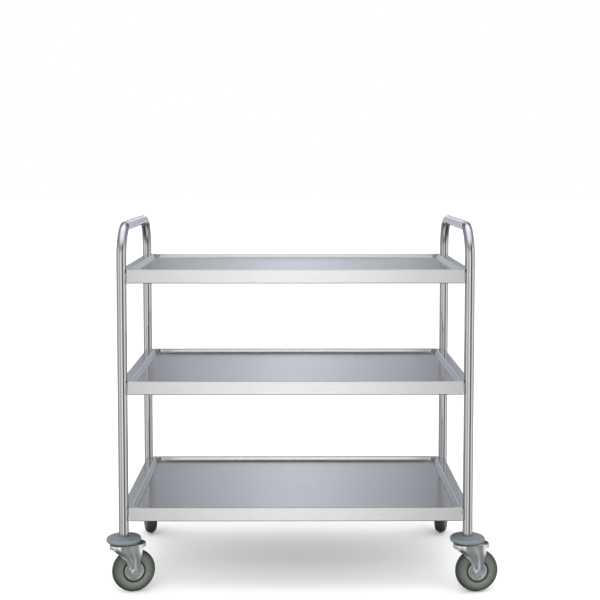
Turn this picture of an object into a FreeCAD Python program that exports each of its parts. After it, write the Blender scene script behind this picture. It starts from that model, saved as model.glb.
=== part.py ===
import FreeCAD, Part
import math
import os

# Food service trolley: two bent-tube end frames, three welded drawn trays, four swivel casters.
# Millimetres. +X runs along the trays, +Y from the front to the back, +Z up, floor at Z = 0.
# The origin is the centre of the footprint: the middle of the whole object's box, on the floor.

V = FreeCAD.Vector
UP = V(0, 0, 1)

# End frames
POST_SPACING_X = 875.0
POST_SPACING_Y = 515.0
TUBE_R = 12.5
TUBE_WALL = 1.5
HANDLE_TOP_Z = 944.0
HANDLE_BEND_R = 85.0

# Trays
RIM_Z = {"bottom": 220.0, "middle": 544.0, "top": 826.0}
TRAY_X = 885.0
TRAY_Y = 535.0
SHEET = 1.0
APRON_H = 35.0
APRON_BEND_R = 2.4
HEM_W = 12.0
FLANGE_SIDE = 25.0
FLANGE_FRONT = 9.0
RECESS_DEPTH = 10.0
RECESS_SLOPE_SIDE = 12.0
RECESS_SLOPE_FRONT = 2.5
RECESS_CORNER_R = 20.0
RECESS_FLOOR_CORNER_R = 12.0
RECESS_EDGE_R = 2.6
RECESS_FLOOR_R = 5.0
NOTCH_GAP = 2.0
WELD_LEG = 2.5
WELD_HALF_ARC = 44.0

# Stiffening channels under each tray
CHANNEL_X = 230.0
CHANNEL_LENGTH = 470.0
CHANNEL_TOP_W = 40.0
CHANNEL_DEPTH = 16.0
CHANNEL_LIP = 14.0

# Bumper discs
BUMPER_R = 44.0
BUMPER_BOTTOM_Z = 131.0
BUMPER_RIM_H = 11.5
BUMPER_CROWN_H = 14.5
BUMPER_COLLAR_R = 16.0
BUMPER_RECESS = 4.0
BUMPER_SOCKET_R = 12.6
BUMPER_HOLE_R = 6.3
BUMPER_DOME_RISE = 0.72

# Casters
WHEEL_R = 55.0
WHEEL_W = 32.0
TRAIL = 24.0
CROWN_BOTTOM_Z = 117.0
CROWN_RIM_TOP_Z = 126.0
CROWN_LEAD_X = -8.0
CROWN_LEAD_R = 28.0
CROWN_TRAIL_X = 30.0
CROWN_TRAIL_R = 26.0
SKIRT_BOTTOM_Z = 114.5
SKIRT_REACH = 14.0
CROWN_EDGE_R = 1.0
FORK_STEEL = 2.4
LEG_Y_AXLE = 20.6
LEG_TIP_R = 12.0
LEG_BOSS = 0.4
LEG_RIBS = 2
SLEEVE_SEAT_R = 8.0
SLEEVE_SEAT_FIT = 0.05
BOLT_R = 6.0
BOLT_FIT = 0.06
THREAD_FIT = 0.05
BOLT_HEAD_H = 4.5
BOLT_HEAD_FLATS = 17.0
BOLT_TOP_Z = 173.0
INSERT_H = 40.0
HEAD_R = 23.0
HEAD_TOP_R = 18.0
HEAD_WALL = 2.0
HEAD_SHOULDER_H = 2.5
HEAD_SEAT_R = 13.0
HEAD_SKIRT_GAP = 1.4
HEAD_GAP = 0.3
BALL_R = 2.5
BALL_COUNT = 20
BALL_RING_R = 17.0
AXLE_R = 4.0
AXLE_HEAD_H = 4.0
AXLE_HEAD_FLATS = 13.0
AXLE_HEAD_CROWN_R = 6.0
AXLE_FLANGE_R = 7.9
AXLE_FLANGE_H = 1.2
AXLE_THREAD_OUT = 8.0
AXLE_NUT_H = 6.4
AXLE_NUT_COLLAR_R = 5.4
AXLE_NUT_COLLAR_H = 1.2
SLEEVE_R = 6.0
RIM_R = 27.0
RIM_FLANGE_HALF = 11.5
RIM_FLANGE_WALL = 3.0
RIM_WEB_HALF = 5.0
RIM_HUB_R = 12.0
RIM_HUB_STAND = 2.0
RIM_BEVEL = 1.0

# Half of the tyre's outline, as (radius, distance from the wheel's middle)
TYRE_LIP = [(26.4, 12.2), (27.4, 12.6), (34.0, 15.6)]
TYRE_BULGE = (40.5, 16.0)
TYRE_SHOULDER = (49.0, 13.2)

# A hub cap's outline: radius, and how far it stands out from the rim's flange
CAP_SECTION = [
    (12.0, -3.0), (20.2, -3.0), (24.4, 1.0), (24.4, 2.6), (23.2, 3.4), (20.4, 3.4), (18.4, 2.4), (12.0, 2.4),
]

# A fork leg from the crown's rim down to the axle:
# height, fore and aft edges, distance out, rib height, share of the crown's outline that it follows
LEG_SECTIONS = [
    (CROWN_RIM_TOP_Z - 1.2, -33.0, 46.0, 0.0, 0.8, 1.0),
    (CROWN_BOTTOM_Z, -32.0, 45.0, 0.0, 1.0, 1.0),
    (90.0, -2.5, 40.0, 23.2, 1.2, 0.0),
    (70.0, 7.5, 37.2, 20.9, 0.8, 0.0),
    (WHEEL_R, TRAIL - LEG_TIP_R, TRAIL + LEG_TIP_R, LEG_Y_AXLE, 0.0, 0.0),
    (WHEEL_R - LEG_TIP_R - 1, TRAIL - LEG_TIP_R, TRAIL + LEG_TIP_R, LEG_Y_AXLE, 0.0, 0.0),
]

# The way each caster trails at rest, in degrees from +X, and its corner of the frame
CORNERS = {
    "front_left": (-1, -1, 17.0),
    "front_right": (1, -1, 7.0),
    "rear_left": (-1, 1, -76.0),
    "rear_right": (1, 1, -104.0),
}

# The front right wheel reaches past its bumper disc, so the frame stands that much off the origin.
FRONT_RIGHT_YAW = math.radians(CORNERS["front_right"][2])
WHEEL_REACH = TRAIL * math.cos(FRONT_RIGHT_YAW) + WHEEL_R
FRAME_X = -(WHEEL_REACH - BUMPER_R) / 2

TUBE_BOTTOM_Z = BUMPER_BOTTOM_Z + BUMPER_CROWN_H - BUMPER_RECESS
AXLE_Z = WHEEL_R


def save(name, shape):
    """Move a finished shape to the object's frame and write it."""
    placed = shape.copy()
    placed.translate(V(FRAME_X, 0, 0))
    placed.exportStep("parts/%s.step" % name)
    print("%-28s solids %d  volume %.0f  valid %s" % (
        name, len(placed.Solids), placed.Volume, placed.isValid()))


def block(x0, x1, y0, y1, z0, z1):
    """A box between two corners."""
    return Part.makeBox(x1 - x0, y1 - y0, z1 - z0, V(x0, y0, z0))


def cylinder(radius, z0, z1, x=0.0, y=0.0):
    """An upright cylinder."""
    return Part.makeCylinder(radius, z1 - z0, V(x, y, z0), UP)


def turned(edges):
    """Revolve a closed outline of edges in the XZ plane about the Z axis."""
    face = Part.Face(Part.Wire(edges))
    return face.revolve(V(0, 0, 0), UP, 360)


def line(a, b):
    """A straight edge in the XZ plane between two (radius, height) points."""
    return Part.LineSegment(V(a[0], 0, a[1]), V(b[0], 0, b[1])).toShape()


def arc(a, b, c):
    """An arc in the XZ plane through three (radius, height) points."""
    return Part.Arc(V(a[0], 0, a[1]), V(b[0], 0, b[1]), V(c[0], 0, c[1])).toShape()


def polygon(points):
    """Straight edges that join (radius, height) points into a closed outline."""
    return [line(a, b) for a, b in zip(points, points[1:] + points[:1])]


def hexagon(flats, z0, z1):
    """A hexagonal prism about the Z axis, measured across its flats."""
    corner_r = flats / math.sqrt(3)
    angles = [math.radians(60 * i) for i in range(6)]
    points = [V(corner_r * math.cos(a), corner_r * math.sin(a), z0) for a in angles]
    face = Part.Face(Part.makePolygon(points + points[:1]))
    return face.extrude(V(0, 0, z1 - z0))


def rounded_plate(size_x, size_y, corner_r, z0, z1):
    """A plate centred on the Z axis with round corners."""
    plate = block(-size_x / 2, size_x / 2, -size_y / 2, size_y / 2, z0, z1)
    upright = [e for e in plate.Edges if abs(e.tangentAt(e.FirstParameter).z) > 0.9]
    return plate.makeFillet(corner_r, upright)


def edges_at(shape, z):
    """The edges of a shape that lie wholly at one height."""
    return [e for e in shape.Edges
            if abs(e.BoundBox.ZMin - z) < 1e-4 and abs(e.BoundBox.ZMax - z) < 1e-4]


# End frames

def tube_path():
    """The centreline of an end frame: up the front post, over the handle, down the rear post."""
    half = POST_SPACING_Y / 2
    top = HANDLE_TOP_Z - TUBE_R
    bend = HANDLE_BEND_R
    slant = bend * (1 - math.sqrt(0.5))
    front_foot = V(0, -half, TUBE_BOTTOM_Z)
    front_bend = [V(0, -half, top - bend), V(0, -half + slant, top - slant), V(0, -half + bend, top)]
    rear_bend = [V(0, half - bend, top), V(0, half - slant, top - slant), V(0, half, top - bend)]
    rear_foot = V(0, half, TUBE_BOTTOM_Z)
    return Part.Wire([
        Part.LineSegment(front_foot, front_bend[0]).toShape(),
        Part.Arc(*front_bend).toShape(),
        Part.LineSegment(front_bend[2], rear_bend[0]).toShape(),
        Part.Arc(*rear_bend).toShape(),
        Part.LineSegment(rear_bend[2], rear_foot).toShape(),
    ])


def end_frame():
    """One tube bent into an upside-down U, open at both feet."""
    path = tube_path()
    foot = V(0, -POST_SPACING_Y / 2, TUBE_BOTTOM_Z)
    solids = []
    for radius in (TUBE_R, TUBE_R - TUBE_WALL):
        ring = Part.Wire(Part.makeCircle(radius, foot, UP))
        solids.append(path.makePipeShell([ring], True, False))
    return solids[0].cut(solids[1])


# Trays

def recess(grow, depth, floor_r):
    """The drawn hollow of a tray below its rim at height 0, grown sideways, with a round floor edge."""
    top_x = TRAY_X - 2 * FLANGE_SIDE + 2 * grow
    top_y = TRAY_Y - 2 * FLANGE_FRONT + 2 * grow
    low_x = top_x - 2 * RECESS_SLOPE_SIDE
    low_y = top_y - 2 * RECESS_SLOPE_FRONT
    top = rounded_plate(top_x, top_y, RECESS_CORNER_R + grow, 0, 1)
    low = rounded_plate(low_x, low_y, RECESS_FLOOR_CORNER_R + grow, -depth, 1)
    wires = [Part.Wire(Part.__sortEdges__(edges_at(top, 0))),
             Part.Wire(Part.__sortEdges__(edges_at(low, -depth)))]
    hollow = Part.makeLoft(wires, True, True)
    return hollow.makeFillet(floor_r, edges_at(hollow, -depth))


def tray_blank():
    """The outer block of a tray with its bent edges, rim at height 0."""
    blank = block(-TRAY_X / 2, TRAY_X / 2, -TRAY_Y / 2, TRAY_Y / 2, -APRON_H, 0)
    return blank.makeFillet(APRON_BEND_R, edges_at(blank, 0) + edges_at(blank, -APRON_H))


def tray_underside():
    """The space inside the sheet: the apron's inside less the drawn hollow, and the way in from below."""
    x = TRAY_X / 2 - SHEET
    y = TRAY_Y / 2 - SHEET
    inside = block(-x, x, -y, y, SHEET - APRON_H, -SHEET)
    inside = inside.makeFillet(APRON_BEND_R - SHEET, edges_at(inside, -SHEET))
    drawn = recess(SHEET, RECESS_DEPTH + SHEET, RECESS_FLOOR_R + SHEET)
    mouth_x = TRAY_X / 2 - HEM_W
    mouth_y = TRAY_Y / 2 - HEM_W
    mouth = block(-mouth_x, mouth_x, -mouth_y, mouth_y, -APRON_H - 1, SHEET - APRON_H)
    return inside.cut(drawn).fuse(mouth)


def post_notches():
    """The cuts that let the four posts pass the corners of a tray."""
    cuts = []
    reach = TUBE_R + NOTCH_GAP
    for side_x in (-1, 1):
        for side_y in (-1, 1):
            x = side_x * POST_SPACING_X / 2
            y = side_y * POST_SPACING_Y / 2
            cuts.append(cylinder(TUBE_R, -APRON_H - 1, 1, x, y))
            cuts.append(block(x - reach, x + reach, y - reach, y + reach, -APRON_H - 1, -SHEET))
            past_x, past_y = sorted((x, x + side_x * 2 * reach)), sorted((y, y + side_y * 2 * reach))
            from_x, from_y = sorted((x - side_x * reach, x)), sorted((y - side_y * reach, y))
            for span_x, span_y in ((past_x, past_y), (from_x, past_y), (past_x, from_y)):
                cuts.append(block(*span_x, *span_y, -APRON_H - 1, 1))
    return cuts


def tray():
    """A drawn tray: recessed floor, flat rim, apron with a returned hem, notched corners."""
    hollow = recess(0, RECESS_DEPTH, RECESS_FLOOR_R)
    body = tray_blank().cut(hollow)
    rim = [e for e in edges_at(body, 0)
           if e.BoundBox.XMax < TRAY_X / 2 - FLANGE_SIDE + 1
           and e.BoundBox.XMin > FLANGE_SIDE - TRAY_X / 2 - 1]
    body = body.makeFillet(RECESS_EDGE_R, rim)
    return body.cut(tray_underside()).cut(post_notches())


def corner_weld(side_x, side_y):
    """A bead round the inner side of a post, under the rim of a tray at height 0."""
    section = polygon([(TUBE_R, -SHEET), (TUBE_R + WELD_LEG, -SHEET), (TUBE_R, -SHEET - WELD_LEG)])
    bead = Part.Face(Part.Wire(section)).revolve(V(0, 0, 0), UP, 2 * WELD_HALF_ARC)
    inward = math.degrees(math.atan2(-side_y, -side_x))
    bead.rotate(V(0, 0, 0), UP, inward - WELD_HALF_ARC)
    bead.translate(V(side_x * POST_SPACING_X / 2, side_y * POST_SPACING_Y / 2, 0))
    return bead


def corner_welds():
    """Every bead between the trays and the posts."""
    beads = []
    for rim_z in RIM_Z.values():
        for side_x, side_y, _ in CORNERS.values():
            bead = corner_weld(side_x, side_y)
            bead.translate(V(0, 0, rim_z))
            beads.append(bead)
    return Part.makeCompound(beads)


def channel_pair():
    """Two top-hat channels under a tray floor, running front to back, rim at height 0."""
    top = -RECESS_DEPTH - SHEET
    half = CHANNEL_TOP_W / 2
    foot = half + CHANNEL_LIP
    low = top - CHANNEL_DEPTH
    outline = [
        (-foot, top), (-half, top), (-half, low + SHEET), (half, low + SHEET), (half, top),
        (foot, top), (foot, top - SHEET), (half + SHEET, top - SHEET), (half + SHEET, low),
        (-half - SHEET, low), (-half - SHEET, top - SHEET), (-foot, top - SHEET),
    ]
    channel = Part.Face(Part.Wire(polygon(outline))).extrude(V(0, CHANNEL_LENGTH, 0))
    pair = []
    for side in (-1, 1):
        copy = channel.copy()
        copy.translate(V(side * CHANNEL_X, -CHANNEL_LENGTH / 2, 0))
        pair.append(copy)
    return Part.makeCompound(pair)


# Caster pieces, built about an upright swivel axis at X = Y = 0 with the wheel trailing to +X

def bumper_disc():
    """A domed plastic disc with a round rim, a shallow socket for the post and a bolt hole."""
    half_rim = BUMPER_RIM_H / 2
    rim_r = BUMPER_R - half_rim
    mid = BUMPER_BOTTOM_Z + half_rim
    top = BUMPER_BOTTOM_Z + BUMPER_CROWN_H
    shoulder = (rim_r, BUMPER_BOTTOM_Z + BUMPER_RIM_H)
    dome_mid_r = (rim_r + BUMPER_COLLAR_R) / 2
    dome_mid_z = shoulder[1] + BUMPER_DOME_RISE * (top - shoulder[1])
    socket_z = top - BUMPER_RECESS
    return turned([
        line((BUMPER_HOLE_R, BUMPER_BOTTOM_Z), (rim_r, BUMPER_BOTTOM_Z)),
        arc((rim_r, BUMPER_BOTTOM_Z), (BUMPER_R, mid), shoulder),
        arc(shoulder, (dome_mid_r, dome_mid_z), (BUMPER_COLLAR_R, top)),
        line((BUMPER_COLLAR_R, top), (BUMPER_SOCKET_R, top)),
        line((BUMPER_SOCKET_R, top), (BUMPER_SOCKET_R, socket_z)),
        line((BUMPER_SOCKET_R, socket_z), (BUMPER_HOLE_R, socket_z)),
        line((BUMPER_HOLE_R, socket_z), (BUMPER_HOLE_R, BUMPER_BOTTOM_Z)),
    ])


def post_insert():
    """The threaded plug pressed into the foot of a post."""
    plug = cylinder(TUBE_R - TUBE_WALL, TUBE_BOTTOM_Z, TUBE_BOTTOM_Z + INSERT_H)
    return plug.cut(cylinder(BOLT_R + THREAD_FIT, TUBE_BOTTOM_Z, TUBE_BOTTOM_Z + INSERT_H))


def swivel_bolt():
    """The bolt that clamps the caster head to the post and is the swivel's pivot."""
    head_top = CROWN_BOTTOM_Z - HEAD_GAP
    head = hexagon(BOLT_HEAD_FLATS, head_top - BOLT_HEAD_H, head_top)
    return head.fuse(cylinder(BOLT_R, head_top, BOLT_TOP_Z)).removeSplitter()


def swivel_head():
    """The fixed upper race: a pressed cup that covers the balls and is clamped under the bumper."""
    under = CROWN_BOTTOM_Z + FORK_STEEL + 2 * BALL_R + HEAD_GAP
    skirt = CROWN_BOTTOM_Z + FORK_STEEL + HEAD_SKIRT_GAP
    seat = under - HEAD_WALL
    bore = BOLT_R + BOLT_FIT
    inner = HEAD_R - HEAD_WALL
    return turned(polygon([
        (bore, seat), (HEAD_SEAT_R, seat), (BALL_RING_R - BALL_R, under),
        (inner, under), (inner, skirt), (HEAD_R, skirt), (HEAD_R, under + HEAD_SHOULDER_H),
        (HEAD_TOP_R, BUMPER_BOTTOM_Z), (bore, BUMPER_BOTTOM_Z),
    ]))


def ball_ring():
    """The ring of balls between the head and the fork crown."""
    height = CROWN_BOTTOM_Z + FORK_STEEL + BALL_R
    balls = []
    for i in range(BALL_COUNT):
        angle = 2 * math.pi * i / BALL_COUNT
        centre = V(BALL_RING_R * math.cos(angle), BALL_RING_R * math.sin(angle), height)
        balls.append(Part.makeSphere(BALL_R, centre))
    return Part.makeCompound(balls)


def egg(inset, z0, z1):
    """A prism on the crown's outline: two circles of different size and their common tangents."""
    lead_r = CROWN_LEAD_R - inset
    trail_r = CROWN_TRAIL_R - inset
    lean = math.acos((lead_r - trail_r) / (CROWN_TRAIL_X - CROWN_LEAD_X))
    c = math.cos(lean)
    s = math.sin(lean)
    lead = [V(CROWN_LEAD_X + lead_r * c, -lead_r * s, z0), V(CROWN_LEAD_X - lead_r, 0, z0),
            V(CROWN_LEAD_X + lead_r * c, lead_r * s, z0)]
    trail = [V(CROWN_TRAIL_X + trail_r * c, trail_r * s, z0), V(CROWN_TRAIL_X + trail_r, 0, z0),
             V(CROWN_TRAIL_X + trail_r * c, -trail_r * s, z0)]
    wire = Part.Wire([
        Part.Arc(*lead).toShape(),
        Part.LineSegment(lead[2], trail[0]).toShape(),
        Part.Arc(*trail).toShape(),
        Part.LineSegment(trail[2], lead[0]).toShape(),
    ])
    return Part.Face(wire).extrude(V(0, 0, z1 - z0))


def crown_edge(x):
    """The point and outward direction of the crown's outline at one place along it, on the +Y side."""
    centre, radius = CROWN_LEAD_X, CROWN_LEAD_R
    lean = math.acos((CROWN_LEAD_R - CROWN_TRAIL_R) / (CROWN_TRAIL_X - CROWN_LEAD_X))
    if x > CROWN_TRAIL_X + CROWN_TRAIL_R * math.cos(lean):
        centre, radius = CROWN_TRAIL_X, CROWN_TRAIL_R
    elif x > CROWN_LEAD_X + CROWN_LEAD_R * math.cos(lean):
        out = V(math.cos(lean), math.sin(lean), 0)
        start = V(CROWN_LEAD_X, 0, 0) + out * CROWN_LEAD_R
        return V(x, start.y - (x - start.x) * out.x / out.y, 0), out
    out = V((x - centre) / radius, math.sqrt(radius ** 2 - (x - centre) ** 2) / radius, 0)
    return V(x, out.y * radius, 0), out


def leg_section(z, x0, x1, y, rib, wrap):
    """A band across a fork leg at one height, waved by its upright ribs, wrapped round the crown."""
    steps = 16
    outer = []
    inner = []
    for i in range(steps + 1):
        t = i / steps
        x = x0 + (x1 - x0) * t
        edge, out = crown_edge(x)
        flat = V(x, y + FORK_STEEL / 2, 0)
        side = V(0, 1, 0) * (1 - wrap) + out * wrap
        side.normalize()
        wave = rib * (1 - math.cos(2 * math.pi * LEG_RIBS * t)) / 2
        skin = flat * (1 - wrap) + edge * wrap + side * wave + V(0, 0, z)
        outer.append(skin)
        inner.append(skin - side * FORK_STEEL)
    curves = []
    for points in (outer, inner[::-1]):
        spline = Part.BSplineCurve()
        spline.interpolate(points)
        curves.append(spline.toShape())
    ends = [Part.LineSegment(outer[-1], inner[-1]).toShape(), Part.LineSegment(inner[0], outer[0]).toShape()]
    return Part.Wire([curves[0], ends[0], curves[1], ends[1]])


def fork_leg():
    """The leg on the +Y side: wide and ribbed under the crown, narrow and round at the axle."""
    leg = Part.makeLoft([leg_section(*row) for row in LEG_SECTIONS], True, False)
    reach = 2 * LEG_TIP_R
    corners = block(TRAIL - reach, TRAIL + reach, 0, 2 * LEG_Y_AXLE, AXLE_Z - reach, AXLE_Z)
    tip = Part.makeCylinder(LEG_TIP_R, 3 * LEG_Y_AXLE, V(TRAIL, -1, AXLE_Z), V(0, 1, 0))
    return leg.cut(corners.cut(tip))


def fork():
    """The pressed fork: dished crown with a raised rim, leading skirt, two legs and its holes."""
    crown = egg(0, CROWN_BOTTOM_Z, CROWN_RIM_TOP_Z)
    dish = egg(FORK_STEEL, CROWN_BOTTOM_Z + FORK_STEEL, CROWN_RIM_TOP_Z)
    crown = crown.cut(dish)
    crown = crown.makeFillet(CROWN_EDGE_R, edges_at(crown, CROWN_RIM_TOP_Z))
    skirt = egg(0, SKIRT_BOTTOM_Z, CROWN_BOTTOM_Z).cut(egg(FORK_STEEL, SKIRT_BOTTOM_Z, CROWN_BOTTOM_Z))
    leading = block(CROWN_LEAD_X - 2 * CROWN_LEAD_R, CROWN_LEAD_X - SKIRT_REACH,
                    -CROWN_LEAD_R, CROWN_LEAD_R, SKIRT_BOTTOM_Z, CROWN_BOTTOM_Z)
    skirt = skirt.common(leading)
    near = fork_leg()
    far = near.mirror(V(0, 0, 0), V(0, 1, 0))
    body = crown.fuse([skirt, near, far])
    pivot = cylinder(BOLT_R + BOLT_FIT, CROWN_BOTTOM_Z - 1, CROWN_RIM_TOP_Z)
    across = V(0, 1, 0)
    reach = 2 * LEG_Y_AXLE
    axle = Part.makeCylinder(AXLE_R + THREAD_FIT, 2 * reach, V(TRAIL, -reach, AXLE_Z), across)
    inside = LEG_Y_AXLE - FORK_STEEL / 2 + SLEEVE_SEAT_FIT
    sleeve_seat = Part.makeCylinder(SLEEVE_SEAT_R, 2 * inside, V(TRAIL, -inside, AXLE_Z), across)
    return body.cut([pivot, axle, sleeve_seat])


# Wheel pieces, built about the Z axis and then laid on the axle

def on_axle(shape):
    """Lay a piece made about the Z axis on the axle: its +Z side faces the leg on the -Y side."""
    laid = shape.copy()
    laid.rotate(V(0, 0, 0), V(1, 0, 0), 90)
    laid.translate(V(TRAIL, 0, AXLE_Z))
    return laid


def tyre():
    """A solid rubber tyre with a round tread and a sloping lip round the rim on both sides."""
    def low(p):
        return (p[0], -p[1])

    seat = (RIM_R, RIM_FLANGE_HALF)
    lip = [seat] + TYRE_LIP
    edges = [line(a, b) for a, b in zip(lip, lip[1:])]
    edges.append(arc(lip[-1], TYRE_BULGE, TYRE_SHOULDER))
    edges.append(arc(TYRE_SHOULDER, (WHEEL_R, 0), low(TYRE_SHOULDER)))
    edges.append(arc(low(TYRE_SHOULDER), low(TYRE_BULGE), low(lip[-1])))
    edges += [line(low(b), low(a)) for a, b in zip(lip[-2::-1], lip[:0:-1])]
    edges.append(line(low(seat), seat))
    return turned(edges)


def wheel_rim():
    """The moulded wheel centre: hub, web and outer flange, bored to run on the sleeve."""
    bore = SLEEVE_R + BOLT_FIT
    hub_half = RIM_FLANGE_HALF + RIM_HUB_STAND
    flange_in = RIM_R - RIM_FLANGE_WALL
    upper = [
        (RIM_R, RIM_FLANGE_HALF), (flange_in, RIM_FLANGE_HALF), (flange_in - RIM_BEVEL, RIM_WEB_HALF),
        (RIM_HUB_R, RIM_WEB_HALF), (RIM_HUB_R, hub_half), (bore, hub_half),
    ]
    lower = [(radius, -height) for radius, height in upper[::-1]]
    return turned(polygon(lower + upper))


def hub_caps():
    """The pair of round covers that keep threads out of the hub, one on each side."""
    cap = turned(polygon([(radius, RIM_FLANGE_HALF + out) for radius, out in CAP_SECTION]))
    other = cap.mirror(V(0, 0, 0), UP)
    return Part.makeCompound([cap, other])


def axle_sleeve():
    """The steel tube clamped between the fork legs, which the wheel turns on."""
    half = LEG_Y_AXLE - FORK_STEEL / 2
    return cylinder(SLEEVE_R, -half, half).cut(cylinder(AXLE_R + THREAD_FIT, -half, half))


def axle_bolt():
    """The axle bolt: hexagon head with a round flange on the -Y side, thread past the other leg."""
    face = LEG_Y_AXLE + FORK_STEEL / 2 + LEG_BOSS
    seat = face + AXLE_FLANGE_H
    flange = cylinder(AXLE_FLANGE_R, face, seat)
    head = hexagon(AXLE_HEAD_FLATS, seat, seat + AXLE_HEAD_H)
    chamfer = Part.makeCone(AXLE_FLANGE_R + 1, AXLE_HEAD_CROWN_R, AXLE_HEAD_H + 1, V(0, 0, seat), UP)
    shank = cylinder(AXLE_R, -face - AXLE_THREAD_OUT, face)
    return shank.fuse([flange, head.common(chamfer)]).removeSplitter()


def axle_nut():
    """The locking nut on the far end of the axle bolt."""
    face = LEG_Y_AXLE + FORK_STEEL / 2 + LEG_BOSS
    shoulder = -face - AXLE_NUT_H
    collar = cylinder(AXLE_NUT_COLLAR_R, shoulder - AXLE_NUT_COLLAR_H, shoulder)
    nut = hexagon(AXLE_HEAD_FLATS, shoulder, -face).fuse(collar).removeSplitter()
    return nut.cut(cylinder(AXLE_R + THREAD_FIT, -face - AXLE_THREAD_OUT, -face))


CASTER_PIECES = {
    "bumper_disc": bumper_disc(),
    "post_insert": post_insert(),
    "swivel_bolt": swivel_bolt(),
    "swivel_head": swivel_head(),
    "ball_ring": ball_ring(),
    "fork": fork(),
    "axle_sleeve": on_axle(axle_sleeve()),
    "axle_bolt": on_axle(axle_bolt()),
    "axle_nut": on_axle(axle_nut()),
    "tyre": on_axle(tyre()),
    "wheel_rim": on_axle(wheel_rim()),
    "hub_caps": on_axle(hub_caps()),
}


def save_casters():
    """Turn a copy of every caster piece to its rest heading and set it under its post."""
    for corner, (side_x, side_y, yaw) in CORNERS.items():
        for piece, shape in CASTER_PIECES.items():
            copy = shape.copy()
            copy.rotate(V(0, 0, 0), UP, yaw)
            copy.translate(V(side_x * POST_SPACING_X / 2, side_y * POST_SPACING_Y / 2, 0))
            save("%s_%s" % (piece, corner), copy)


def save_frame():
    """The two end frames, one each side."""
    frame = end_frame()
    for side, name in ((-1, "left"), (1, "right")):
        copy = frame.copy()
        copy.translate(V(side * POST_SPACING_X / 2, 0, 0))
        save("end_frame_%s" % name, copy)


def save_trays():
    """Three trays with their channels, and the beads that hold them to the posts."""
    sheet = tray()
    channels = channel_pair()
    for level, rim_z in RIM_Z.items():
        for name, shape in (("tray", sheet), ("channels", channels)):
            copy = shape.copy()
            copy.translate(V(0, 0, rim_z))
            save("%s_%s" % (name, level), copy)
    save("corner_welds", corner_welds())


os.makedirs("parts", exist_ok=True)
save_frame()
save_trays()
save_casters()
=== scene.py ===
import bpy
import math
from mathutils import Matrix, Vector, geometry


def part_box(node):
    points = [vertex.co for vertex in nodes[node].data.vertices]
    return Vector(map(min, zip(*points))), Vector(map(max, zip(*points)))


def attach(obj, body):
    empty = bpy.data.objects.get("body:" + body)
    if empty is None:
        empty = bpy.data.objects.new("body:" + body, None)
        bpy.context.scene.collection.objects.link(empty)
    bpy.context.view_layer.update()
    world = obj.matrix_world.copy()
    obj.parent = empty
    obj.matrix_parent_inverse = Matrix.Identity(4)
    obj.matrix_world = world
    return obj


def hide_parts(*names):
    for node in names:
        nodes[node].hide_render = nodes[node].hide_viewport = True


# Looks of the food service trolley, built round the CAD frame.
# Lengths in the shape functions are millimetres; MM turns them into the frame's metres.

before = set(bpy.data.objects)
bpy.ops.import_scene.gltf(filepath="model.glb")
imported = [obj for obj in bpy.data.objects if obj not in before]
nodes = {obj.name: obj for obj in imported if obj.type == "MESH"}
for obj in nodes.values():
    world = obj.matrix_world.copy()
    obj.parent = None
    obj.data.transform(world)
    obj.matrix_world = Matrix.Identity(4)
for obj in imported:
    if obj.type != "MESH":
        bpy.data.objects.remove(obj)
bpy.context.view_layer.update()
scene = bpy.context.scene

MM = 0.001
# End frames: the posts' axes, the round tube, and the height of its foot and of the handle's axis
POST_X = 437.5
POST_Y = 257.5
TUBE_R = 12.5
TUBE_WALL = 1.5
TUBE_FOOT_Z = 141.5
HANDLE_Z = 931.5
HANDLE_BEND_R = 85.0
# Trays: half their outside size, the drawn hollow, and the flat rim left at the ends and in front
TRAY_HALF_X = 442.5
TRAY_HALF_Y = 267.5
APRON_H = 35.0
RECESS_DEPTH = 10.0
RECESS_CORNER_R = 20.0
SIDE_RIM = 25.0
FRONT_RIM = 9.0
# How far the hollow's wall leans over its depth, at the ends and in front
END_WALL_SLOPE = 12.0
FRONT_WALL_SLOPE = 2.5
# Casters: the wheel, how far its axle trails behind the post's axis, and the holes for bolts and sleeves
WHEEL_R = 55.0
TRAIL = 24.0
BORE_R = 6.06
# Side of each corner in X and Y, and its wheel's heading in degrees from +X
CORNERS = {
    "front_left": (-1, -1, 17.0),
    "front_right": (1, -1, 7.0),
    "rear_left": (-1, 1, -76.0),
    "rear_right": (1, 1, -104.0),
}
LEVELS = ("bottom", "middle", "top")
FRAME_X = (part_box("end_frame_left")[0].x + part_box("end_frame_right")[1].x) / 2 / MM


# Outlines

def arc(a, b, c, count):
    """Points on the arc from a through b to c, as sharp corners, without its first point."""
    ax, ay, bx, by, cx, cy = *a, *b, *c
    d = 2 * (ax * (by - cy) + bx * (cy - ay) + cx * (ay - by))
    ux = ((ax**2 + ay**2) * (by - cy) + (bx**2 + by**2) * (cy - ay) + (cx**2 + cy**2) * (ay - by)) / d
    uy = ((ax**2 + ay**2) * (cx - bx) + (bx**2 + by**2) * (ax - cx) + (cx**2 + cy**2) * (bx - ax)) / d
    radius = math.hypot(ax - ux, ay - uy)
    start, mid, end = (math.atan2(p[1] - uy, p[0] - ux) for p in (a, b, c))
    sweep = (end - start) % math.tau
    if (mid - start) % math.tau > sweep:
        sweep -= math.tau
    turns = [start + sweep * k / count for k in range(1, count + 1)]
    return [(ux + radius * math.cos(t), uy + radius * math.sin(t), 0) for t in turns]


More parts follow.
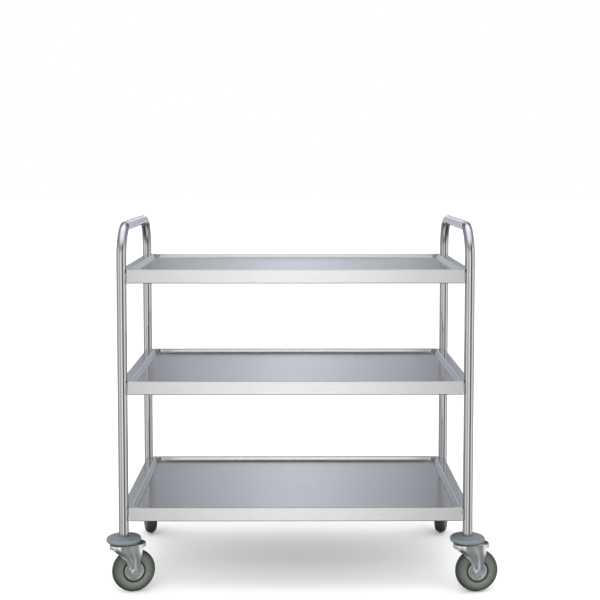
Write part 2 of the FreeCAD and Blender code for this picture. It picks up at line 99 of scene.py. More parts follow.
def rounded(corners, closed=True, step=12.0):
    """An outline through (across, up, bend radius) corners: its points and their normals to the right."""
    points, normals = [], []
    last = len(corners) - 1
    for i, (x, y, radius) in enumerate(corners):
        here = Vector((x, y))
        before = Vector(corners[i - 1][:2])
        after = Vector(corners[(i + 1) % len(corners)][:2])
        if not closed and i == 0:
            before = 2 * here - after
        if not closed and i == last:
            after = 2 * here - before
        way_in = (here - before).normalized()
        way_out = (after - here).normalized()
        turn = math.atan2(way_in.cross(way_out), way_in.dot(way_out))
        side = 1 if turn > 0 else -1
        reach = radius * math.tan(abs(turn) / 2)
        centre = here - way_in * reach + Vector((-way_in.y, way_in.x)) * radius * side
        count = max(2, math.ceil(abs(math.degrees(turn)) / step)) if radius else 0
        for k in range(count + 1):
            angle = turn * k / count if count else turn / 2
            way = Vector((way_in.x * math.cos(angle) - way_in.y * math.sin(angle),
                          way_in.x * math.sin(angle) + way_in.y * math.cos(angle)))
            normal = Vector((way.y, -way.x))
            points.append(centre + normal * radius * side if radius else here)
            normals.append(normal)
    return points, normals


# Meshes

class Skin:
    """Corners of faces with their own normal and grain coordinates, in millimetres."""

    def __init__(self):
        self.verts, self.faces, self.normals, self.grain = [], [], [], []

    def face(self, ids, normals, grain):
        self.faces.append(tuple(ids))
        self.normals += [tuple(n) for n in normals]
        self.grain += [(g[0] * MM, g[1] * MM) for g in grain]

    def grid(self, rows, normals, grain, wrap=False, shut=False, flip=False):
        """A quad surface through rows of points. wrap joins the last column to the first, shut the rows."""
        base = len(self.verts)
        wide = len(rows[0])
        self.verts += [p for row in rows for p in row]
        high = len(rows)
        for i in range(high if shut else high - 1):
            for j in range(wide if wrap else wide - 1):
                cells = [(i, j), (i, j + 1), (i + 1, j + 1), (i + 1, j)]
                if flip:
                    cells.reverse()
                ids = [base + (r % high) * wide + c % wide for r, c in cells]
                face_normals = [normals[r % high][c % wide] for r, c in cells]
                self.face(ids, face_normals, [grain(r, c) for r, c in cells])
        return base

    def flat(self, ids, grain=None):
        """One flat face through vertices that exist."""
        a, b, c = (Vector(self.verts[i]) for i in (ids[0], ids[1], ids[2]))
        normal = (b - a).cross(c - b).normalized()
        self.face(ids, [normal] * len(ids), grain or [(self.verts[i][0], self.verts[i][1]) for i in ids])

    def mesh(self, name, look):
        mesh = bpy.data.meshes.new(name)
        mesh.from_pydata([Vector(v) * MM for v in self.verts], [], self.faces)
        layer = mesh.uv_layers.new(name="grain")
        for loop, uv in zip(layer.data, self.grain):
            loop.uv = uv
        mesh.polygons.foreach_set("use_smooth", [True] * len(mesh.polygons))
        mesh.normals_split_custom_set(self.normals)
        mesh.materials.append(look.material)
        mesh.update()
        return mesh


def lathe(skin, outline, segments=96, place=None, step=12.0):
    """Turn a closed outline of (radius, height, bend) corners about the Z axis."""
    points, slopes = rounded(outline, True, step)
    place = place or Matrix.Identity(4)
    turn = place.to_3x3()
    rows, normals = [], []
    for k in range(segments):
        c, s = math.cos(math.tau * k / segments), math.sin(math.tau * k / segments)
        rows.append([place @ Vector((p.x * c, p.x * s, p.y)) for p in points])
        normals.append([turn @ Vector((n.x * c, n.x * s, n.y)) for n in slopes])
    lengths = [0.0]
    for a, b in zip(points, points[1:] + points[:1]):
        lengths.append(lengths[-1] + (b - a).length)
    mean = max(p.x for p in points)
    around = math.tau * mean / segments
    skin.grid(rows, normals, lambda r, c: (r * around, lengths[c]), wrap=True, shut=True, flip=True)


def shell(verts, normals, grain, faces, thickness):
    """A sheet: the skin, its copy on the far side, and a strip along every open edge."""
    skin = Skin()
    count = len(verts)
    skin.verts = [Vector(v) for v in verts]
    skin.verts += [Vector(v) - Vector(n) * thickness for v, n in zip(verts, normals)]
    for ids in faces:
        skin.face(ids, [normals[i] for i in ids], [grain[i] for i in ids])
        back = ids[::-1]
        skin.face([i + count for i in back], [-Vector(normals[i]) for i in back], [grain[i] for i in back])
    sides = {(a, b) for ids in faces for a, b in zip(ids, ids[1:] + ids[:1])}
    for a, b in sorted(sides):
        if (b, a) not in sides:
            skin.flat((b, a, a + count, b + count), [grain[i] for i in (b, a, a, b)])
    return skin


# Shapes

def tube_path():
    """The end frame's centre line, with its angles: up the front post, over the handle, down the rear post."""
    spring = HANDLE_Z - HANDLE_BEND_R
    path = [(Vector((0, -POST_Y, TUBE_FOOT_Z + (spring - TUBE_FOOT_Z) * k / 8)), 0.0) for k in range(8)]
    for k in range(33):
        angle = math.pi / 2 * k / 32
        y = -POST_Y + HANDLE_BEND_R * (1 - math.cos(angle))
        path.append((Vector((0, y, spring + HANDLE_BEND_R * math.sin(angle))), angle))
    bent = len(path)
    for k in range(1, 5):
        path.append((Vector((0, (POST_Y - HANDLE_BEND_R) * (k / 2.5 - 1), HANDLE_Z)), math.pi / 2))
    for centre, angle in reversed(path[:bent]):
        path.append((Vector((0, -centre.y, centre.z)), math.pi - angle))
    return path


def tube_mesh(look):
    """One end frame: a hollow tube bent into an upside-down U, standing in the YZ plane."""
    sides = 72
    path = tube_path()
    lengths = [0.0]
    for (a, _), (b, _) in zip(path, path[1:]):
        lengths.append(lengths[-1] + (b - a).length)
    skin = Skin()
    bases = []
    for radius, inward in ((TUBE_R, False), (TUBE_R - TUBE_WALL, True)):
        rows, normals = [], []
        for centre, angle in path:
            out = Vector((0, -math.cos(angle), math.sin(angle)))
            ring = []
            for j in range(sides):
                t = math.tau * j / sides
                ring.append(Vector((math.cos(t), 0, 0)) + out * math.sin(t))
            rows.append([centre + n * radius for n in ring])
            normals.append([-n if inward else n for n in ring])
        around = math.tau * radius / sides
        base = skin.grid(rows, normals, lambda r, c: (c * around, lengths[r]), wrap=True, flip=not inward)
        bases.append(base)
    for row in (0, len(path) - 1):
        for j in range(sides):
            outer = [bases[0] + row * sides + (j + k) % sides for k in (0, 1)]
            inner = [bases[1] + row * sides + (j + k) % sides for k in (0, 1)]
            ids = [outer[0], outer[1], inner[1], inner[0]]
            skin.flat(ids if row == 0 else ids[::-1])
    return skin.mesh("end_frame", look)


SHEET = 1.0
FOLD_R = 2.4
FLOOR_EDGE_R = 2.5
RIM_EDGE_R = 2.6
# Faces in each of the hollow's two round edges, and parts of each side and of each corner's bend
EDGE_STEPS = 8
STEPS_X = 16
STEPS_Y = 10
CORNER_STEPS = 16
# The tray's four corners in turn; after each comes the side that the next corner ends
QUARTERS = ((1, 1), (-1, 1), (-1, -1), (1, -1))


class TraySheet:
    """The upper skin of a drawn tray about its own centre, rim at height 0."""

    def __init__(self):
        self.verts, self.normals, self.grain, self.faces = [], [], [], []
        # Painted light at some corners of its faces: 0 on a dark painted shade line, 0.5 as usual, 1 on a
        # bright painted highlight line
        self.painted_tones = {}

    def add(self, point, normal, uv):
        self.verts.append(Vector(point))
        self.normals.append(Vector(normal).normalized())
        self.grain.append(uv)
        return len(self.verts) - 1

    def strip(self, above, below):
        for j in range(len(above) - 1):
            self.faces.append((above[j], below[j], below[j + 1], above[j + 1]))


def hollow_wall(slope):
    """Section across one side of the drawn hollow, with its normals: round floor edge and round rim edge."""
    step = math.degrees(math.atan2(RECESS_DEPTH, slope)) / EDGE_STEPS + 0.01
    # The first and last points only give the floor's and the rim's direction
    on_floor, on_rim = (-slope - 16, -RECESS_DEPTH, 0), (9, 0, 0)
    bends = [(-slope, -RECESS_DEPTH, FLOOR_EDGE_R), (0, 0, RIM_EDGE_R)]
    points, slopes = rounded([on_floor, *bends, on_rim], False, step)
    return list(zip(points, slopes))[1:-1]


def hollow_ring(grow_x, grow_y):
    """Points and outward directions round the drawn hollow, each corner's bend first."""
    out = []
    mid_x = TRAY_HALF_X - SIDE_RIM - RECESS_CORNER_R
    mid_y = TRAY_HALF_Y - FRONT_RIM - RECESS_CORNER_R
    for quarter, (side_x, side_y) in enumerate(QUARTERS):
        for k in range(CORNER_STEPS + 1):
            t = math.pi / 2 * (quarter + k / CORNER_STEPS)
            way = Vector((math.cos(t), math.sin(t)))
            reach = Vector((way.x * (RECESS_CORNER_R + grow_x), way.y * (RECESS_CORNER_R + grow_y)))
            out.append((Vector((side_x * mid_x, side_y * mid_y)) + reach, way))
        steps = STEPS_X if quarter % 2 == 0 else STEPS_Y
        last, way = out[-1]
        nxt = Vector((-last.x, last.y)) if quarter % 2 == 0 else Vector((last.x, -last.y))
        for k in range(1, steps):
            out.append((last.lerp(nxt, k / steps), way))
    return out


def draw_hollow(tray):
    """The floor and the walls round it, long at the ends and steep at the front. Returns the upper edge."""
    rings = []
    edge = EDGE_STEPS + 1
    sections = zip(hollow_wall(END_WALL_SLOPE), hollow_wall(FRONT_WALL_SLOPE))
    for index, ((px, nx), (py, ny)) in enumerate(sections):
        row = []
        # Painted shade along the middle of the floor edge, a painted highlight along the middle of the rim
        # edge, at the ends only
        line = (0.5 if index >= edge else -0.5) * math.sin(math.pi * (index % edge) / EDGE_STEPS)
        for point, way in hollow_ring(px.x, py.x):
            n = nx * way.x ** 2 + ny * way.y ** 2
            z = px.y * way.x ** 2 + py.y * way.y ** 2
            normal = (-way.x * n.x, -way.y * n.x, -n.y)
            row.append(tray.add((point.x, point.y, z), normal, (point.x, point.y)))
            tray.painted_tones[row[-1]] = 0.5 + line * way.x ** 2
        rings.append(row)
    tray.faces.append(tuple(rings[0]))
    for low, high in zip(rings, rings[1:]):
        for j in range(len(low)):
            k = (j + 1) % len(low)
            tray.faces.append((low[j], high[j], high[k], low[k]))
    return rings[-1]


def post_notch():
    """The rim's cut-back corner at +X +Y: in from the end's fold, round the post, out to the rear fold."""
    notch_x, notch_y = 423.0, 243.0
    notch = [(TRAY_HALF_X - FOLD_R, notch_y), (POST_X, notch_y)]
    for k in range(25):
        t = -math.pi / 2 * (1 + k / 24)
        notch.append((POST_X + TUBE_R * math.cos(t), POST_Y + TUBE_R * math.sin(t)))
    return notch + [(notch_x, POST_Y), (notch_x, TRAY_HALF_Y - FOLD_R)]


def draw_rim(tray, inner):
    """The flat rim from the hollow's upper edge out to the folds. Returns the four folds' points."""
    notch = post_notch()
    outline, folds = [], []
    for quarter, (side_x, side_y) in enumerate(QUARTERS):
        path = [(side_x * x, side_y * y) for x, y in notch]
        if quarter % 2:
            path.reverse()
        outline += [tray.add((x, y, 0), (0, 0, 1), (x, y)) for x, y in path]
        steps = STEPS_X if quarter % 2 == 0 else STEPS_Y
        fold = [outline[-1]]
        last = path[-1]
        nxt = (-last[0], last[1]) if quarter % 2 == 0 else (last[0], -last[1])
        for k in range(1, steps):
            x, y = (last[i] + (nxt[i] - last[i]) * k / steps for i in (0, 1))
            fold.append(tray.add((x, y, 0), (0, 0, 1), (x, y)))
        outline += fold[1:]
        folds.append(fold)
    for quarter, fold in enumerate(folds):
        notch_end = outline.index(folds[(quarter + 1) % 4][0])
        fold.append(outline[notch_end - len(notch) + 1])
    ids = outline + inner
    loops = [[tray.verts[i] for i in outline], [tray.verts[i] for i in inner]]
    for a, b, c in geometry.tessellate_polygon(loops):
        a, b, c = ids[a], ids[b], ids[c]
        up = (tray.verts[b] - tray.verts[a]).cross(tray.verts[c] - tray.verts[b]).z
        if abs(up) > 1e-9:
            tray.faces.append((a, b, c) if up > 0 else (a, c, b))
    return folds


def draw_aprons(tray, folds):
    """The folded apron of each side and its returned hem."""
    on_rim, hem = (-9, 0, 0), (-12, -APRON_H, 0)
    points, slopes = rounded([on_rim, (0, 0, FOLD_R), (0, -APRON_H, FOLD_R), hem], False, 10.0)
    section = list(zip(points, slopes))[1:]
    for quarter, fold in enumerate(folds):
        way = Vector(((0, 1), (-1, 0), (0, -1), (1, 0))[quarter])
        edge = TRAY_HALF_Y if quarter % 2 == 0 else TRAY_HALF_X
        above = fold
        walked = 0.0
        for (before, _), (p, n) in zip(section, section[1:]):
            walked += (p - before).length
            reach = edge + p.x
            below = []
            for i in fold:
                x, y = tray.verts[i].x, tray.verts[i].y
                if quarter % 2 == 0:
                    place, uv = (x, way.y * reach, p.y), (x, y + way.y * walked)
                else:
                    place, uv = (way.x * reach, y, p.y), (x + way.x * walked, y)
                below.append(tray.add(place, (-way.x * n.x, -way.y * n.x, -n.y), uv))
            tray.strip(above, below)
            above = below


def tray_mesh(look):
    """A whole drawn tray, with a point attribute that carries its painted shade line along the hollow's floor
    edge and its painted highlight line along the rim edge.
    """
    tray = TraySheet()
    draw_aprons(tray, draw_rim(tray, draw_hollow(tray)))
    mesh = shell(tray.verts, tray.normals, tray.grain, tray.faces, SHEET).mesh("tray", look)
    painted_edge_layer = mesh.attributes.new("painted_edge_shade_and_highlight", "FLOAT", "POINT")
    painted_edge_layer.data.foreach_set("value", [tray.painted_tones.get(i, 0.5) for i in range(len(mesh.vertices))])
    return mesh


def bumper_mesh(look):
    """A domed plastic disc with a socket for the post."""
    skin = Skin()
    bolt_r, socket_r = 6.3, TUBE_R + 0.1
    dome = [(bolt_r, 131, 0.5), (44, 131, 5.6), (44, 142.5, 5.2), (27.2, 144.75, 70), (16, 145.5, 0.7)]
    socket = [(socket_r, 145.5, 0.4), (socket_r, TUBE_FOOT_Z, 0.4), (bolt_r, TUBE_FOOT_Z, 0.4)]
    lathe(skin, dome + socket, 128, step=9.0)
    return skin.mesh("bumper_disc", look)


def axle_place(yaw):
    """From a piece about the Z axis to a caster's axle at this heading: its +Z side faces the bolt's head."""
    heading = Matrix.Rotation(math.radians(yaw), 4, "Z")
    return heading @ Matrix.Translation((TRAIL, 0, WHEEL_R)) @ Matrix.Rotation(math.pi / 2, 4, "X")


def tyre_mesh(look, yaw):
    """A solid tyre: round tread with a mould line, and a sloping lip round the rim on each side."""
    lip = [(27.0, 11.5, 0), (26.4, 12.2, 0.2), (27.4, 12.6, 0.4), (34.0, 15.6, 0.8)]
    side = arc((34, 15.6), (40.5, 16), (49, 13.2), 12)
    tread = arc((49, 13.2), (53.32, 7.24), (54.85, 0.5), 14)
    half = lip + side + tread
    low = [(r, -h, b) for r, h, b in half]
    outline = low + [(WHEEL_R, 0, 0)] + half[::-1]
    skin = Skin()
    lathe(skin, outline, 144, axle_place(yaw))
    return skin.mesh("tyre", look)


def rim_mesh(look, yaw):
    """The moulded wheel centre."""
    hub = [(BORE_R, 13.5, 0.3), (12, 13.5, 0.4), (12, 5, 0.8)]
    half = hub + [(23, 5, 0.8), (24, 11.5, 0.3), (27, 11.5, 0.2)]
    outline = [(r, -h, b) for r, h, b in half] + half[::-1]
    skin = Skin()
    lathe(skin, outline, 96, axle_place(yaw))
    return skin.mesh("wheel_rim", look)


def cap_mesh(look, yaw):
    """The pair of round covers over the hub."""
    outline = [(12, 8.5, 0.3), (20.2, 8.5, 0.8), (24.4, 12.5, 0.5), (24.4, 14.1, 0.5), (23.2, 14.9, 0.5),
               (20.4, 14.9, 0.8), (18.4, 13.9, 0.8), (12, 13.9, 0.3)]
    skin = Skin()
    for side in (0, math.pi):
        lathe(skin, outline, 96, axle_place(yaw) @ Matrix.Rotation(side, 4, "X"))
    return skin.mesh("hub_caps", look)


def head_mesh(look):
    """The fixed upper race, pressed from sheet."""
    skin = Skin()
    inside = [(BORE_R, 122.7, 0.3), (13, 122.7, 0.4), (14.5, 124.7, 0.4), (21, 124.7, 0.5), (21, 120.8, 0.3)]
    outside = [(23, 120.8, 0.4), (23, 127.2, 1.6), (18, 131, 1.2), (BORE_R, 131, 0.3)]
    lathe(skin, inside + outside, 96)
    return skin.mesh("swivel_head", look)


# Materials

class Nodes:
    """Short ways to add the usual nodes to a tree."""

    def __init__(self, tree):
        self.tree = tree

    def feed(self, socket, value):
        """Link a node's output to a socket, or set the socket to a plain value."""
        if hasattr(value, "is_linked"):
            self.tree.links.new(value, socket)
        else:
            socket.default_value = value

    def node(self, kind, **inputs):
        node = self.tree.nodes.new("ShaderNode" + kind)
        for key, value in inputs.items():
            self.feed(node.inputs[key.replace("_", " ")], value)
        return node

    def math(self, how, *values):
        node = self.node("Math")
        node.operation = how
        for socket, value in zip(node.inputs, values):
            self.feed(socket, value)
        return node.outputs[0]

    def add(self, a, b):
        return self.math("ADD", a, b)

    def between(self, factor, low, high, from_low=0.3, from_high=0.7):
        """A smooth change from low to high while the factor goes from from_low to from_high."""
        node = self.node("MapRange", Value=factor, From_Min=from_low, From_Max=from_high,
                         To_Min=low, To_Max=high)
        node.interpolation_type = "SMOOTHSTEP"
        return node.outputs["Result"]

    def blend(self, factor, first, second, how="MIX"):
        node = self.node("Mix")
        node.data_type = "RGBA"
        node.blend_type = how
        for index, value in ((0, factor), (6, first), (7, second)):
            self.feed(node.inputs[index], value)
        return node.outputs[2]


class Look(Nodes):
    """A node material under construction."""

    def __init__(self, name, **values):
        self.material = bpy.data.materials.new(name)
        self.material.use_nodes = True
        super().__init__(self.material.node_tree)
        self.shader = self.tree.nodes["Principled BSDF"]
        for key, value in values.items():
            self.shader.inputs[key.replace("_", " ")].default_value = value

    def link(self, output, name):
        self.tree.links.new(output, self.shader.inputs[name])

    def base(self):
        """What the base colour is linked to so far."""
        return self.shader.inputs["Base Color"].links[0].from_socket

    def noise(self, vector, scale, detail=3.0, rough=0.5, distortion=0.0):
        node = self.node("TexNoise", Vector=vector, Scale=scale, Detail=detail, Roughness=rough,
                         Distortion=distortion)
        return node.outputs["Fac"]

    def stretch(self, vector, scale):
        return self.node("Mapping", Vector=vector, Scale=scale).outputs["Vector"]

    def bump(self, height, distance, strength=1.0, under=None):
        node = self.node("Bump", Height=height, Strength=strength, Distance=distance)
        if under:
            self.feed(node.inputs["Normal"], under)
        return node.outputs["Normal"]

    def object_coords(self):
        return self.node("TexCoord").outputs["Object"]

    def grain_coords(self):
        node = self.tree.nodes.new("ShaderNodeUVMap")
        node.uv_map = "grain"
        return node.outputs["UV"]

    def tangent(self):
        node = self.tree.nodes.new("ShaderNodeTangent")
        node.direction_type = "UV_MAP"
        node.uv_map = "grain"
        self.link(node.outputs[0], "Tangent")


def rgb(red, green, blue):
    """A linear colour from the usual 0-255 screen values."""
    def linear(c):
        c /= 255
        return c / 12.92 if c <= 0.04045 else ((c + 0.055) / 1.055) ** 2.4
    return (linear(red), linear(green), linear(blue), 1.0)


def brushed_steel(name, base, shade, rough, anisotropic, relief, grained=True):
    """Satin stainless steel: fine grain along the first grain coordinate, faint waves and handling marks."""
    look = Look(name, Metallic=1.0, Anisotropic=anisotropic, Anisotropic_Rotation=0.25)
    where = look.grain_coords() if grained else look.object_coords()
    fine = look.noise(look.stretch(where, (14, 2600, 1)), 1.0, 4.0, 0.65)
    streak = look.noise(look.stretch(where, (3.5, 380, 1)), 1.0, 3.0, 0.6)
    cloud = look.noise(look.stretch(where, (5, 7, 1)), 1.0, 2.0, 0.5)
    smear = look.noise(look.stretch(where, (22, 60, 1)), 1.0, 3.0, 0.6, 0.6)
    tone = look.add(look.math("MULTIPLY", streak, 0.4), look.math("MULTIPLY", cloud, 0.6))
    look.link(look.blend(look.between(tone, 0, 1, 0.36, 0.64), shade, base), "Base Color")
    level = look.add(look.between(fine, -0.02, 0.02), look.between(smear, -0.01, 0.015))
    look.link(look.add(level, look.between(cloud, rough - 0.01, rough + 0.02)), "Roughness")
    waves = look.bump(cloud, 0.0008, 0.25)
    look.link(look.bump(fine, 0.00001, relief, look.bump(streak, 0.00002, relief * 0.5, waves)), "Normal")
    if grained:
        look.tangent()
    return look


def drawn_sheet():
    """The trays' sheet, with a painted highlight line along the hollow's rim edge and a painted shade line
    along its floor edge.
    """
    look = brushed_steel("sheet_steel", (0.625, 0.625, 0.63, 1), (0.595, 0.595, 0.60, 1), 0.18, 0.5, 0.2)
    marks = look.node("Attribute")
    marks.attribute_name = "painted_edge_shade_and_highlight"
    painted_edge_shade_and_highlight = marks.outputs["Fac"]
    # Painted shade: near-black base colour along the hollow's floor edge
    dark = look.blend(look.between(painted_edge_shade_and_highlight, 1.0, 0.0, 0.0, 0.5), look.base(), (0.02, 0.02, 0.022, 1))
    # Painted highlight: near-white base colour along the hollow's rim edge
    painted_highlight_mask = look.between(painted_edge_shade_and_highlight, 0.0, 1.0, 0.5, 1.0)
    look.link(look.blend(painted_highlight_mask, dark, (0.95, 0.95, 0.96, 1)), "Base Color")
    return look


def tube_with_painted_highlight():
    """The end frames' tube: bright ground steel, with a painted highlight: a paler base colour along the top
    of the handle.
    """
    look = brushed_steel("tube_steel", (0.64, 0.64, 0.645, 1), (0.61, 0.61, 0.615, 1), 0.09, 0.4, 0.3)
    height = look.node("SeparateXYZ", Vector=look.object_coords()).outputs["Z"]
    # Painted highlight: paler base colour on the top of the handle, fading out towards its underside
    painted_handle_highlight = look.between(height, 0.0, 1.0, 0.915, 0.937)
    look.link(look.blend(painted_handle_highlight, look.base(), (0.9, 0.9, 0.92, 1)), "Base Color")
    return look


def zinc_plate(name, base, shade, rough):
    """Bright zinc plating on pressed steel: very soft cloudiness, pin marks and a fine satin skin."""
    look = Look(name, Metallic=1.0)
    where = look.object_coords()
    blotch = look.noise(where, 45, 3.0, 0.55, 0.2)
    fine = look.noise(where, 1100, 3.0, 0.6)
    look.link(look.blend(look.between(blotch, 0, 1), shade, base), "Base Color")
    level = look.add(look.between(fine, -0.03, 0.03), look.between(blotch, rough, rough + 0.06))
    look.link(level, "Roughness")
    look.link(look.bump(fine, 0.00002, 0.12, look.bump(blotch, 0.0002, 0.05)), "Normal")
    return look


# Metres along the tyre's section from its start at the bore to the middle of the tread
TREAD_MIDDLE = 0.0393


def rubber_with_painted_shade(name, tread, lip):
    """Non-marking rubber with painted shade: the tread, where it meets the floor, is painted darker than the
    paler lip round the rim, and the lip's inmost edge is painted near black.
    """
    look = Look(name)
    along = look.node("SeparateXYZ", Vector=look.grain_coords()).outputs["Y"]
    off_tread = look.math("ABSOLUTE", look.add(along, -TREAD_MIDDLE))
    where = look.object_coords()
    cloud = look.noise(where, 45, 4.0, 0.6)
    skin = look.noise(where, 1300, 3.0, 0.65)
    # Painted shade and light: the tread is painted darker and the lip paler, with a noisy boundary between
    # them
    painted_lip_light = look.between(look.add(off_tread, look.between(cloud, -0.0015, 0.0015)), 0.0, 1.0, 0.008, 0.033)
    # Painted shade: a near-black ring at the lip's inmost edge, in the gap by the hub cap
    painted_gap_shade = look.between(off_tread, 0.0, 1.0, 0.0355, 0.037)
    look.link(look.blend(painted_gap_shade, look.blend(painted_lip_light, tread, lip), rgb(34, 36, 35)), "Base Color")
    look.link(look.add(look.between(skin, -0.06, 0.06), look.between(cloud, 0.50, 0.60)), "Roughness")
    look.link(look.bump(skin, 0.00008, 0.5), "Normal")
    return look


def moulded(name, base, shade, rough, grain_scale, depth):
    """Moulded plastic or rubber with a fine skin texture and slight tone changes."""
    look = Look(name)
    where = look.object_coords()
    cloud = look.noise(where, 45, 4.0, 0.6)
    skin = look.noise(where, grain_scale, 3.0, 0.65)
    look.link(look.blend(look.between(cloud, 0, 1), shade, base), "Base Color")
    look.link(look.add(look.between(skin, -0.06, 0.06), look.between(cloud, rough - 0.04, rough + 0.05)),
              "Roughness")
    look.link(look.bump(skin, depth, 0.5), "Normal")
    return look


sheet_steel = drawn_sheet()
tube_steel = tube_with_painted_highlight()
weld_steel = zinc_plate("weld_steel", (0.55, 0.52, 0.48, 1), (0.36, 0.33, 0.36, 1), 0.34)
zinc_steel = zinc_plate("zinc_steel", (0.95, 0.98, 0.99, 1), (0.92, 0.95, 0.96, 1), 0.30)
cap_steel = zinc_plate("cap_steel", (0.76, 0.79, 0.80, 1), (0.71, 0.74, 0.75, 1), 0.36)
bumper_plastic = moulded("bumper_plastic", rgb(108, 117, 119), rgb(101, 110, 112), 0.42, 1600, 0.00006)
# The tread colour is darker as painted shade; the lip colour is paler as painted light
tyre_rubber = rubber_with_painted_shade("tyre_rubber", rgb(50, 55, 49), rgb(98, 105, 96))
rim_plastic = moulded("rim_plastic", rgb(58, 62, 62), rgb(50, 54, 54), 0.5, 1500, 0.00006)

# The look of every material slot of the CAD nodes
CAD_LOOKS = {
    "stainless_tube": zinc_plate("plug_steel", (0.6, 0.6, 0.6, 1), (0.5, 0.5, 0.5, 1), 0.3),
    "stainless_sheet": brushed_steel("channel_steel", (0.6, 0.605, 0.62, 1), (0.55, 0.555, 0.57, 1),
                                     0.26, 0.0, 0.3, grained=False),
    "weld_steel": weld_steel,
    "bumper_plastic": bumper_plastic,
    "zinc_steel": zinc_steel,
    "ball_steel": zinc_plate("ball_steel", (0.7, 0.7, 0.71, 1), (0.6, 0.6, 0.62, 1), 0.14),
    "tyre_rubber": tyre_rubber,
    "rim_plastic": rim_plastic,
    "hub_cap_steel": cap_steel,
}


# Pieces

def put(name, mesh, place, body, node):
    """Place a mesh, let it ride on a body and stand for a CAD node."""
    obj = bpy.data.objects.new(name, mesh)
    scene.collection.objects.link(obj)
    obj.matrix_world = place
    bpy.context.view_layer.update()
    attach(obj, body)
    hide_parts(node)
    return obj


def build_frame():
    tube = tube_mesh(tube_steel)
    for side, name in ((-1, "left"), (1, "right")):
        place = Matrix.Translation(Vector((FRAME_X + side * POST_X, 0, 0)) * MM)
        put("tube_" + name, tube, place, "trolley_frame", "end_frame_" + name)
    tray = tray_mesh(sheet_steel)
    for level in LEVELS:
        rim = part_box("tray_" + level)[1].z
        place = Matrix.Translation((FRAME_X * MM, 0, rim))
        put("drawn_tray_" + level, tray, place, "trolley_frame", "tray_" + level)


def build_casters():
    fixed = [("bumper_disc", bumper_mesh(bumper_plastic), "bumper_plastic"),
             ("swivel_head", head_mesh(zinc_steel), "zinc_steel")]
    rolling = [("tyre", tyre_mesh, tyre_rubber, "tyre_rubber"),
               ("wheel_rim", rim_mesh, rim_plastic, "rim_plastic"),
               ("hub_caps", cap_mesh, cap_steel, "hub_cap_steel")]
    for corner, (side_x, side_y, yaw) in CORNERS.items():
        place = Matrix.Translation(Vector((FRAME_X + side_x * POST_X, side_y * POST_Y, 0)) * MM)
        for kind, mesh, slot in fixed:
            node = "%s_%s" % (kind, corner)
            put("%s_skin_%s" % (kind, corner), mesh, place, "trolley_frame", node)
        for kind, shape, look, slot in rolling:
            mesh = shape(look, yaw)
            node = "%s_%s" % (kind, corner)
            put("%s_skin_%s" % (kind, corner), mesh, place, "wheel_" + corner, node)


def dress_cad():
    """Give every CAD node's own slots their finished material."""
    for obj in nodes.values():
        for slot in obj.material_slots:
            slot.material = CAD_LOOKS[slot.material.name.split(".")[0]].material


# Studio

# What bright metal mirrors round the room: (degrees from the front, plus to the right; brightness).
# The rear is the same on both sides
REAR_LEVELS = [(160, .12), (166.5, .58), (170.6, .62), (172.9, .36), (175.3, .60), (180, .86)]
REFLECTIONS = [(-angle, level) for angle, level in reversed(REAR_LEVELS)] + [
    (-136, .45), (-96, .42), (-84, .50), (-60, 1.08), (-36, .42), (-20, .90), (-12, .66), (-4, 1.35),
    (0, 1.62), (4, 1.32), (8, .90), (14, .50), (22, .20), (34, .08), (44, .25), (54, .75),
    (72, 1.18), (84, .85), (100, .55), (136, .45),
] + REAR_LEVELS
ROOF = (1.3, 1.3, 1.3, 1)
GROUND = (0.08, 0.08, 0.08, 1)
REAR_TINT = (0.95, 0.98, 1.08, 1)
WHITE = (1.0, 1.0, 1.0, 1)
# What the dull pieces are lit with, straight above, near the horizon, and the share from below it
SKY_LIGHT = 1.0
HORIZON_LIGHT = 3.15
GROUND_SHARE = 0.08


def mirrored_room(sky, across, depth, height):
    """What bright metal sees: soft boxes with gaps all round, a bright roof, dark ground and a cool rear."""
    heading = sky.math("ARCTAN2", across, sky.math("MULTIPLY", depth, -1.0))
    ramp = sky.node("ValToRGB", Fac=sky.add(sky.math("DIVIDE", heading, math.tau), 0.5))
    ramp.color_ramp.interpolation = "EASE"
    stops = ramp.color_ramp.elements
    while len(stops) < len(REFLECTIONS):
        stops.new(0.5)
    # A ramp's colours stay below 1, so it holds half of each level
    for stop, (angle, level) in zip(stops, REFLECTIONS):
        stop.position = angle / 360 + 0.5
        stop.color = (level / 2, level / 2, level / 2, 1)
    wall = sky.math("MULTIPLY", ramp.outputs["Color"], 2.0)
    wall = sky.math("MULTIPLY", wall, sky.between(height, 1.0, 0.50, 0.30, 0.62))
    room = sky.blend(sky.between(height, 0.0, 1.0, 0.55, 0.97), wall, ROOF)
    room = sky.blend(sky.between(height, 1.0, 0.0, -0.85, -0.15), room, GROUND)
    tint = sky.blend(sky.between(depth, 0.0, 1.0, -0.2, 0.5), WHITE, REAR_TINT)
    return sky.blend(1.0, room, tint, "MULTIPLY")


def studio_world():
    """White to the eye, soft light from above for the dull pieces, the mirrored room for the bright ones."""
    world = bpy.data.worlds.new("studio")
    scene.world = world
    world.use_nodes = True
    world.node_tree.nodes.clear()
    sky = Nodes(world.node_tree)
    way = sky.node("SeparateXYZ", Vector=sky.node("TexCoord").outputs["Generated"]).outputs
    room = mirrored_room(sky, way["X"], way["Y"], way["Z"])
    above = sky.between(way["Z"], HORIZON_LIGHT, SKY_LIGHT, 0.25, 0.8)
    dull = sky.math("MULTIPLY", above, sky.between(way["Z"], GROUND_SHARE, 1.0, -0.15, 0.05))
    path = sky.node("LightPath").outputs
    seen = sky.blend(path["Is Camera Ray"], sky.blend(path["Is Diffuse Ray"], room, dull), WHITE)
    sky.node("OutputWorld", Surface=sky.node("Background", Color=seen).outputs[0])


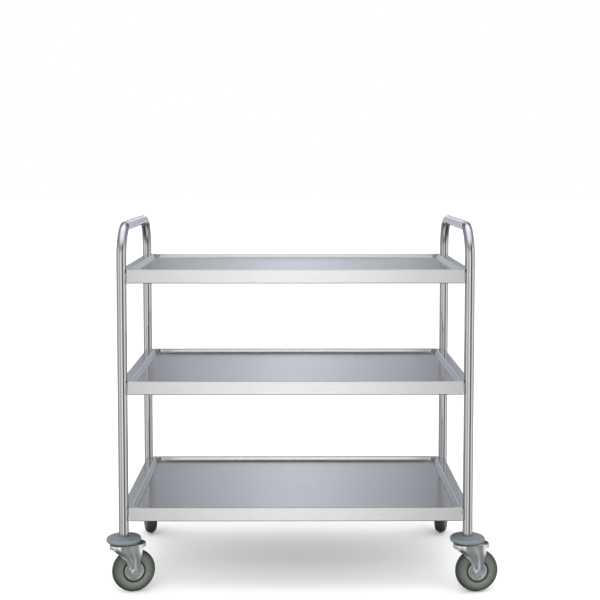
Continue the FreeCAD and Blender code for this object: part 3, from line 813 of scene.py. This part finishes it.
def soft_light(name, place, aim, size, power):
    """A large lamp that neither the eye nor the metal sees."""
    data = bpy.data.lights.new(name, "AREA")
    data.shape = "RECTANGLE"
    data.size, data.size_y = size
    data.energy = power
    light = bpy.data.objects.new(name, data)
    scene.collection.objects.link(light)
    light.location = place
    light.rotation_euler = (Vector(aim) - Vector(place)).to_track_quat("-Z", "Y").to_euler()
    light.visible_camera = False
    light.visible_glossy = False


def studio_floor():
    """A plain pale floor, which the metal doesn't mirror."""
    mesh = bpy.data.meshes.new("studio_floor")
    size, steps = 40.0, 96
    turns = [math.tau * k / steps for k in range(steps)]
    ring = [(size * math.cos(t), size * math.sin(t), 0) for t in turns]
    mesh.from_pydata(ring, [], [tuple(range(steps))])
    look = Look("studio_floor", Specular_IOR_Level=0.2)
    cloud = look.noise(look.object_coords(), 0.7, 2.0)
    look.link(look.blend(cloud, (0.90, 0.90, 0.905, 1), (0.91, 0.91, 0.91, 1)), "Base Color")
    look.link(look.between(cloud, 0.75, 0.85), "Roughness")
    mesh.materials.append(look.material)
    floor = bpy.data.objects.new("studio_floor", mesh)
    scene.collection.objects.link(floor)
    floor.visible_glossy = False
    floor.visible_diffuse = False


def studio_camera():
    """A long lens in front of the trolley, a little above the handles, looking slightly down."""
    data = bpy.data.cameras.new("camera")
    data.sensor_width = 36.0
    data.lens = 70.76
    data.shift_y = -0.10
    data.clip_end = 200.0
    camera = bpy.data.objects.new("camera", data)
    scene.collection.objects.link(camera)
    distance, eye_z, down, aside = 2.95, 1.089, 3.67, -0.209
    camera.location = (FRAME_X * MM, -POST_Y * MM - distance, eye_z)
    camera.rotation_euler = (math.radians(90 - down), 0, math.radians(aside))
    scene.camera = camera


build_frame()
build_casters()
dress_cad()
studio_world()
studio_floor()
soft_light("overhead_light", (0, -0.3, 3.2), (0, 0, 0.2), (3.2, 2.6), 28)
soft_light("front_light", (-0.8, -3.2, 2.4), (0, 0, 0.3), (2.4, 1.6), 28)
studio_camera()
scene.view_settings.view_transform = "Standard"
